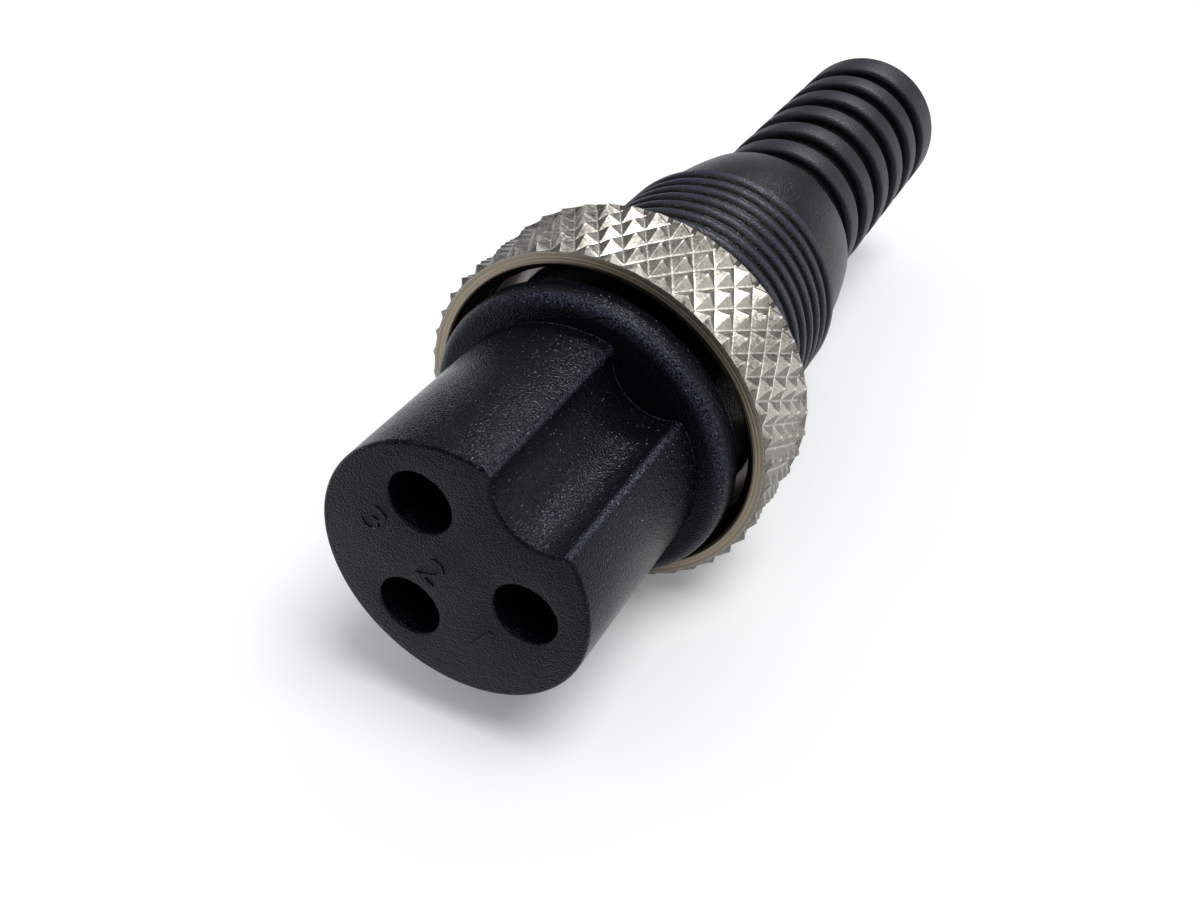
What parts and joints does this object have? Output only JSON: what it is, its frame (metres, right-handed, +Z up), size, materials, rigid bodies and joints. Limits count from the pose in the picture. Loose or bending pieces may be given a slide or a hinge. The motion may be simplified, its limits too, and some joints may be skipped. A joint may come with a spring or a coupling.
{
  "type": "locking charging plug",
  "caption": "Round cable plug with a keyed black nose of contact sockets, a knurled metal screw ring, a ridged backshell and a ribbed strain-relief boot.",
  "frame": {"origin": "on the ground under the middle of the plug's length, straight below its axis", "axes": "+Y along the plug's axis from the nose face to the cable end, +Z up, +X to the right for someone facing the nose"},
  "size_m": [0.0178, 0.0528, 0.0179],
  "materials": {
    "nose_plastic": "matte",
    "shell_plastic": "matte",
    "boot_rubber": "matte",
    "nickel_brass": "satin",
    "spring_steel": "satin",
    "contact_brass": "satin"
  },
  "bodies": {
    "plug": {"contact_insert": "nose_plastic", "plug_sleeve": "nose_plastic", "contact_retainer": "nose_plastic", "socket_contact_1": "contact_brass", "socket_contact_2": "contact_brass", "socket_contact_3": "contact_brass", "backshell": "shell_plastic", "strain_relief_boot": "boot_rubber"},
    "clip": {"snap_ring": "spring_steel"},
    "ring": {"coupling_ring": "nickel_brass"}
  },
  "joints": [
    {"name": "ring_float", "type": "slide", "parent": "plug", "child": "clip", "axis": [0, -1, 0], "range_m": [0, 0.0038]},
    {"name": "ring_turn", "type": "hinge", "parent": "clip", "child": "ring", "pos_m": [0, -0.012, 0.00895], "axis": [0, -1, 0], "continuous": true}
  ]
}
